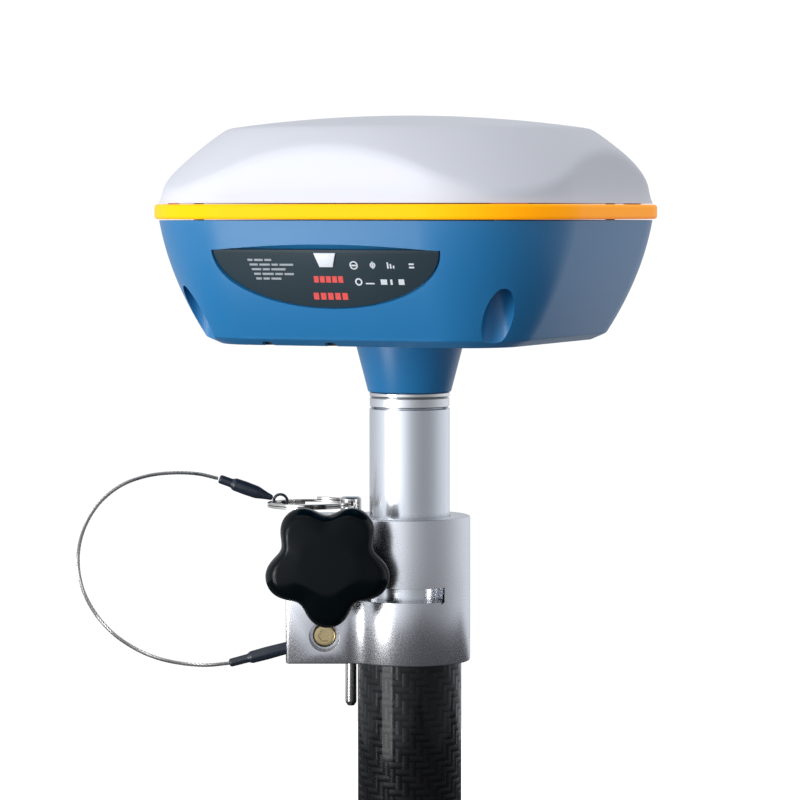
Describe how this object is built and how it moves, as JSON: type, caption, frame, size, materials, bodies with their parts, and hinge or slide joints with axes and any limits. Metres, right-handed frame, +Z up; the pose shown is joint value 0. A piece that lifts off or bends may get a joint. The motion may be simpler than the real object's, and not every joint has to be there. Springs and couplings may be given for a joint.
{
  "type": "gnss receiver",
  "caption": "Rounded square GNSS receiver screwed on a sliding pole head, held by a split clamp with star knob, locking pin and lanyard.",
  "frame": {"origin": "centre of the foot of the pole stub, on the ferrule's lower face", "axes": "+Z up the pole; -Y is the receiver's label side; +X to the right when facing the label"},
  "size_m": [0.1631, 0.1356, 0.2618],
  "materials": {
    "housing_blue": "satin moulded blue plastic, painted",
    "radome_grey": "fine satin light grey plastic",
    "band_yellow": "smooth satin yellow plastic",
    "seal_rubber": "moulded rubber",
    "label_dark": "printed dark grey film",
    "mark_white": "white mark",
    "panel_dark": "dark grey film panel",
    "light_green": "clear tinted lens",
    "key_grey": "satin key cap",
    "cover_rubber": "moulded rubber",
    "steel": "bright zinc plated",
    "steel_polished": "polished stainless steel",
    "wire_steel": "stranded stainless wire",
    "brass": "machined brass",
    "ring_polished": "polished",
    "board_green": "solder-masked laminate",
    "shield_can": "tinned sheet can",
    "black_plastic": "moulded plastic",
    "patch_ceramic": "ceramic-filled laminate",
    "battery_shell": "sleeved cell",
    "aluminium_turned": "turned, satin anodised",
    "aluminium_tube": "drawn tube, satin anodised",
    "aluminium_collar": "milled, bead-blasted and anodised",
    "carbon": "twill carbon fibre under clear gloss",
    "knob_black": "glossy moulded phenolic",
    "crimp_sleeve": "black shrink sleeve over a crimp"
  },
  "bodies": {
    "clamp": {"clamp_collar": "aluminium_collar", "carbon_tube": "carbon", "pole_ferrule": "aluminium_turned", "clamp_bolt": "brass", "knob_nut": "steel", "lanyard_wire": "wire_steel", "lower_crimp": "crimp_sleeve"},
    "upper_pole": {"pole_head": "aluminium_turned", "inner_tube": "aluminium_tube", "guide_bush": "black_plastic"},
    "thrust_ring": {"thrust_ring": "ring_polished"},
    "receiver": {"radome": "radome_grey", "band_ring": "band_yellow", "lower_housing": "housing_blue", "neck": "housing_blue", "thread_insert": "brass", "housing_seal": "seal_rubber", "label_plate": "label_dark", "height_mark": "mark_white", "housing_screw_1": "steel", "housing_screw_2": "steel", "housing_screw_3": "steel", "housing_screw_4": "steel", "control_panel": "panel_dark", "indicator_light_1": "light_green", "indicator_light_2": "light_green", "indicator_light_3": "light_green", "indicator_light_4": "light_green", "main_board": "board_green", "positioning_module": "shield_can", "radio_module": "shield_can", "beeper": "black_plastic", "ground_plane": "board_green", "antenna_patch_lower": "patch_ceramic", "antenna_patch_upper": "patch_ceramic", "battery_tray": "black_plastic", "battery_cell_1": "battery_shell", "battery_cell_2": "battery_shell", "data_connector": "shield_can", "antenna_connector": "brass"},
    "power_key": {"power_key": "key_grey"},
    "port_cover_1": {"port_cover_1": "cover_rubber"},
    "port_cover_2": {"port_cover_2": "cover_rubber"},
    "knob_washer": {"knob_washer": "steel"},
    "star_knob": {"star_knob": "knob_black", "knob_stud": "steel"},
    "locking_pin": {"locking_pin": "steel_polished", "pull_ring": "steel_polished", "upper_crimp": "crimp_sleeve", "lanyard_eye": "wire_steel"}
  },
  "joints": [
    {"name": "pole_slide", "type": "slide", "parent": "clamp", "child": "upper_pole", "axis": [0, 0, 1], "range_m": [-0.028, 0.038]},
    {"name": "ring_lift", "type": "slide", "parent": "upper_pole", "child": "thrust_ring", "axis": [0, 0, 1], "range_m": [0, 0.0116]},
    {"name": "receiver_turn", "type": "hinge", "parent": "thrust_ring", "child": "receiver", "pos_m": [0, 0, 0.1772], "axis": [0, 0, 1], "range_deg": [0, 1800]},
    {"name": "key_press", "type": "slide", "parent": "receiver", "child": "power_key", "axis": [0, -0.9455, 0.3256], "range_m": [0, 0.0006], "stiffness_N_per_m": 2000},
    {"name": "port_cover_1_swing", "type": "hinge", "parent": "receiver", "child": "port_cover_1", "pos_m": [-0.0252, -0.0362, 0.193], "axis": [1, 0, 0], "range_deg": [0, 105]},
    {"name": "port_cover_2_swing", "type": "hinge", "parent": "receiver", "child": "port_cover_2", "pos_m": [-0.0046, -0.0362, 0.193], "axis": [1, 0, 0], "range_deg": [0, 105]},
    {"name": "washer_travel", "type": "slide", "parent": "clamp", "child": "knob_washer", "axis": [0.3907, -0.9205, 0], "range_m": [0, 0.00201]},
    {"name": "knob_turn", "type": "hinge", "parent": "knob_washer", "child": "star_knob", "pos_m": [-0.02283, -0.00969, 0.1263], "axis": [0.3907, -0.9205, 0], "range_deg": [0, 720]},
    {"name": "pin_lift", "type": "slide", "parent": "clamp", "child": "locking_pin", "axis": [0, 0, 1], "range_m": [0, 0.018]}
  ],
  "couplings": [
    {"joint": "ring_lift", "follows": "receiver_turn", "m_per_rad": 0.00036751},
    {"joint": "washer_travel", "follows": "knob_turn", "m_per_rad": 0.00015915}
  ]
}
